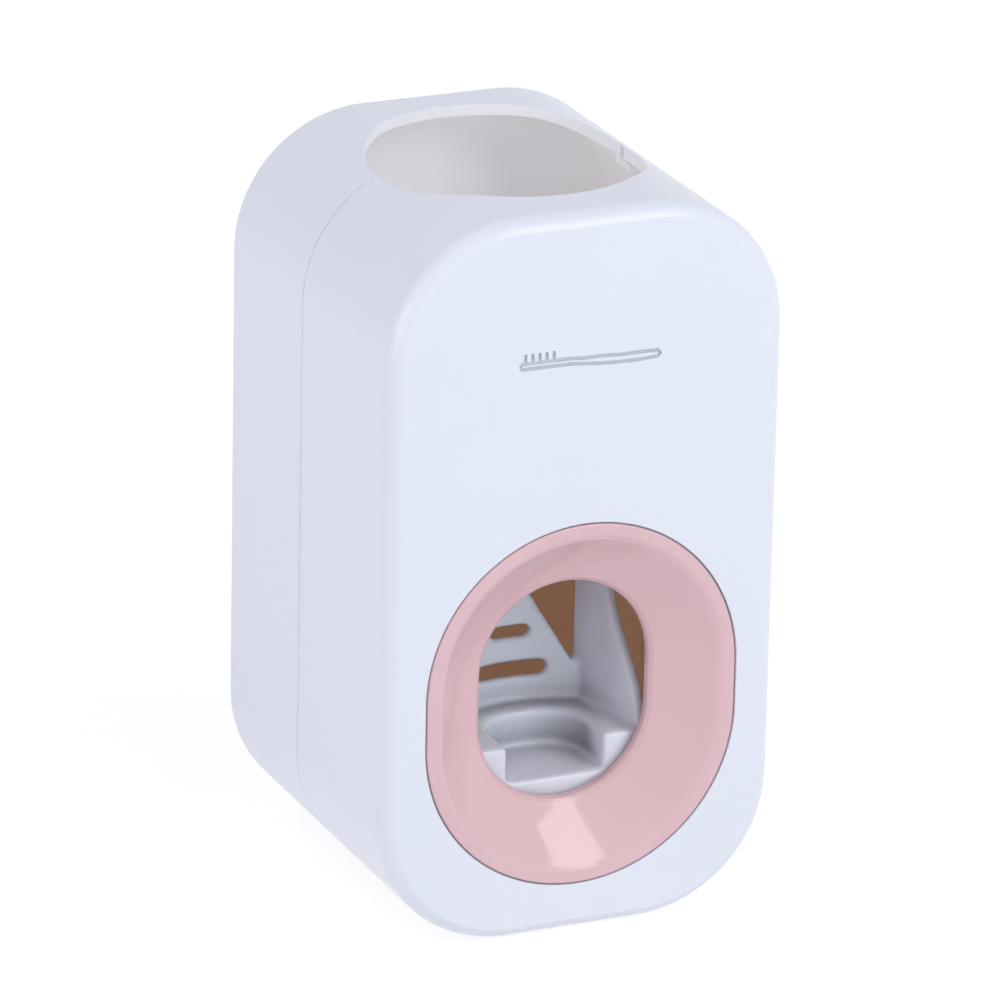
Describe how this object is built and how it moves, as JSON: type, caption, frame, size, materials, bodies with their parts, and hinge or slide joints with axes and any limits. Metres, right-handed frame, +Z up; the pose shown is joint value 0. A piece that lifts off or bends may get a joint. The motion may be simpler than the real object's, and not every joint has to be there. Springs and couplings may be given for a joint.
{
  "type": "toothpaste tube squeezer",
  "caption": "Wall-hung toothpaste squeezer: a tall white casing, open at the top for the tube, with a pink ring and a lever inside that a toothbrush pushes.",
  "frame": {"origin": "centre of the adhesive pad's back face, on the wall", "axes": "+Y into the wall, +Z up, +X to the right as seen from the front"},
  "size_m": [0.084, 0.0825, 0.15],
  "materials": {
    "white_abs": "gloss",
    "pink_abs": "gloss",
    "brown_abs": "matte",
    "grey_acetal": "satin",
    "grey_silicone": "matte",
    "milky_silicone": "satin",
    "steel": "satin",
    "grey_foam": "matte"
  },
  "bodies": {
    "wall_mount": {"adhesive_pad": "grey_foam", "wall_plate": "white_abs"},
    "housing": {"rear_shell": "white_abs", "mechanism_chassis": "brown_abs", "chassis_screw_1": "steel", "chassis_screw_2": "steel", "chassis_screw_3": "steel", "chassis_screw_4": "steel", "pump_carrier": "white_abs", "carrier_screw_1": "steel", "carrier_screw_2": "steel", "carrier_screw_3": "steel", "carrier_screw_4": "steel", "tube_gland": "grey_silicone", "inlet_valve": "grey_silicone", "pump_sleeve": "milky_silicone", "sleeve_clamp": "steel", "nozzle_band": "steel", "outlet_nozzle": "white_abs", "outlet_valve": "grey_silicone", "return_spring": "steel", "pivot_pin_left": "steel", "pivot_pin_right": "steel", "pin_clip_left": "steel", "pin_clip_right": "steel", "lever_bumper_left": "grey_silicone", "lever_bumper_right": "grey_silicone"},
    "lever": {"push_lever": "white_abs", "roller_pin": "steel"},
    "roller": {"presser_roller": "grey_acetal"},
    "front_cover": {"front_shell": "white_abs", "front_ring": "pink_abs"}
  },
  "joints": [
    {"name": "housing_lift", "type": "slide", "parent": "wall_mount", "child": "housing", "axis": [0, 0, 1], "range_m": [0, 0.078]},
    {"name": "cover_pull", "type": "slide", "parent": "housing", "child": "front_cover", "axis": [0, -1, 0], "range_m": [0, 0.05]},
    {"name": "lever_swing", "type": "hinge", "parent": "housing", "child": "lever", "pos_m": [0, -0.0465, 0.0615], "axis": [1, 0, 0], "range_deg": [0, 12], "stiffness_Nm_per_rad": 0.78, "springref_deg": -5.73, "deforming": ["return_spring", "pump_sleeve"]},
    {"name": "roller_spin", "type": "hinge", "parent": "lever", "child": "roller", "pos_m": [0, -0.0677, 0.05], "axis": [1, 0, 0], "continuous": true}
  ]
}
